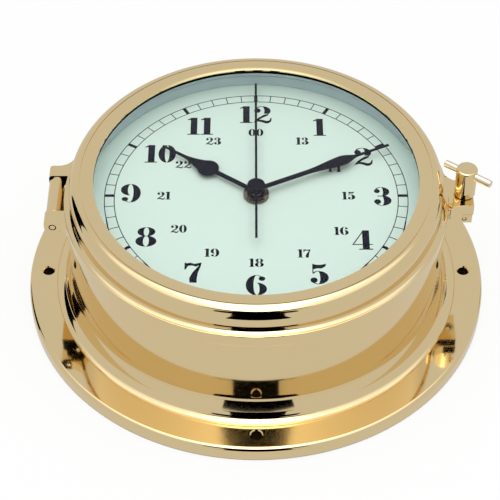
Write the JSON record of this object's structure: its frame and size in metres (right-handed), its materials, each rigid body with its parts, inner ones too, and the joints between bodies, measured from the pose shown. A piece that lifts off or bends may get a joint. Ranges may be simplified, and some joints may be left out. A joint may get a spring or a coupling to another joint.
{
  "type": "marine clock",
  "caption": "Round bulkhead clock with a flanged polished brass case, a hinged glazed bezel closed by a T-screw latch, a white numbered dial and a quartz movement with turning hands.",
  "frame": {"origin": "centre of the flange's back face, the plane that sits on the bulkhead", "axes": "+Z out of the dial, away from the bulkhead; +Y to twelve o'clock; +X to three o'clock, where the latch is, so the hinge is at -X"},
  "size_m": [0.198, 0.198, 0.0676],
  "materials": {
    "case_body": "polished",
    "hinge_barrel": "polished",
    "hinge_pin": "polished",
    "latch_lug": "polished",
    "thread_bush": "satin",
    "bush_pin": "polished",
    "case_gasket": "matt",
    "dial_plate": "white enamel paint",
    "dial_ring": "matt",
    "dial_foot_nut_1": "polished",
    "dial_foot_nut_2": "polished",
    "dial_foot_nut_3": "polished",
    "movement_front": "matt",
    "movement_back": "matt",
    "dial_nut": "black lacquer",
    "train_bridge": "polished",
    "circuit_board": "satin",
    "crystal_can": "satin",
    "coil": "enamelled copper wire",
    "stator": "satin",
    "rotor": "satin",
    "step_wheel": "matt",
    "second_wheel": "matt",
    "third_wheel": "matt",
    "centre_wheel": "polished",
    "minute_pipe": "polished",
    "motion_wheel": "matt",
    "hour_wheel": "matt",
    "setting_knob": "matt",
    "battery": "satin",
    "contact_plus": "satin",
    "contact_minus": "satin",
    "hour_hand": "black lacquer",
    "minute_hand": "black lacquer",
    "second_hand": "black lacquer",
    "hub_cap": "black lacquer",
    "bezel_ring": "polished",
    "glass": "polished",
    "glass_seal": "pale silicone",
    "glass_ring": "matt",
    "latch_screw": "polished",
    "latch_bar": "polished",
    "latch_clip": "satin"
  },
  "bodies": {
    "case": {"case_body": "case_body", "hinge_barrel": "hinge_barrel", "hinge_pin": "hinge_pin", "latch_lug": "latch_lug", "thread_bush": "thread_bush", "bush_pin": "bush_pin", "case_gasket": "case_gasket", "dial_plate": "dial_plate", "dial_ring": "dial_ring", "dial_foot_nut_1": "dial_foot_nut_1", "dial_foot_nut_2": "dial_foot_nut_2", "dial_foot_nut_3": "dial_foot_nut_3", "movement_front": "movement_front", "movement_back": "movement_back", "dial_nut": "dial_nut", "train_bridge": "train_bridge", "circuit_board": "circuit_board", "crystal_can": "crystal_can", "coil": "coil", "stator": "stator", "battery": "battery", "contact_plus": "contact_plus", "contact_minus": "contact_minus"},
    "bezel": {"bezel_ring": "bezel_ring", "glass": "glass", "glass_seal": "glass_seal", "glass_ring": "glass_ring"},
    "latch_carrier": {"latch_clip": "latch_clip"},
    "latch": {"latch_screw": "latch_screw", "latch_bar": "latch_bar"},
    "seconds": {"second_wheel": "second_wheel", "second_hand": "second_hand", "hub_cap": "hub_cap"},
    "step": {"step_wheel": "step_wheel"},
    "rotor": {"rotor": "rotor"},
    "third": {"third_wheel": "third_wheel"},
    "centre": {"centre_wheel": "centre_wheel"},
    "minutes": {"minute_pipe": "minute_pipe", "minute_hand": "minute_hand"},
    "motion": {"motion_wheel": "motion_wheel", "setting_knob": "setting_knob"},
    "hours": {"hour_wheel": "hour_wheel", "hour_hand": "hour_hand"}
  },
  "joints": [
    {"name": "bezel_hinge", "type": "hinge", "parent": "case", "child": "bezel", "pos_m": [-0.0845, 0, 0.0499], "axis": [0, -1, 0], "range_deg": [0, 150]},
    {"name": "latch_slide", "type": "slide", "parent": "bezel", "child": "latch_carrier", "axis": [0, 0, 1], "range_m": [0, 0.0034]},
    {"name": "latch_turn", "type": "hinge", "parent": "latch_carrier", "child": "latch", "pos_m": [0.0874, 0, 0.0534], "axis": [0, 0, 1], "range_deg": [0, 1531]},
    {"name": "seconds_turn", "type": "hinge", "parent": "case", "child": "seconds", "pos_m": [0, 0, 0.045], "axis": [0, 0, -1], "continuous": true},
    {"name": "step_turn", "type": "hinge", "parent": "case", "child": "step", "pos_m": [0.00735, 0, 0.045], "axis": [0, 0, -1], "continuous": true},
    {"name": "rotor_turn", "type": "hinge", "parent": "case", "child": "rotor", "pos_m": [0.01365, 0, 0.045], "axis": [0, 0, -1], "continuous": true},
    {"name": "third_turn", "type": "hinge", "parent": "case", "child": "third", "pos_m": [-0.0096, 0, 0.045], "axis": [0, 0, -1], "continuous": true},
    {"name": "centre_turn", "type": "hinge", "parent": "case", "child": "centre", "pos_m": [0, 0, 0.045], "axis": [0, 0, -1], "continuous": true},
    {"name": "minutes_turn", "type": "hinge", "parent": "case", "child": "minutes", "pos_m": [0, 0, 0.045], "axis": [0, 0, -1], "continuous": true},
    {"name": "motion_turn", "type": "hinge", "parent": "case", "child": "motion", "pos_m": [0, 0.01, 0.045], "axis": [0, 0, -1], "continuous": true},
    {"name": "hours_turn", "type": "hinge", "parent": "case", "child": "hours", "pos_m": [0, 0, 0.045], "axis": [0, 0, -1], "continuous": true}
  ],
  "couplings": [
    {"joint": "latch_turn", "follows": "latch_slide", "rad_per_m": 7854},
    {"joint": "step_turn", "follows": "seconds_turn", "ratio": -6},
    {"joint": "rotor_turn", "follows": "seconds_turn", "ratio": 30},
    {"joint": "third_turn", "follows": "seconds_turn", "ratio": -0.13333},
    {"joint": "centre_turn", "follows": "seconds_turn", "ratio": 0.016667},
    {"joint": "motion_turn", "follows": "minutes_turn", "ratio": -0.33333},
    {"joint": "hours_turn", "follows": "minutes_turn", "ratio": 0.083333}
  ]
}
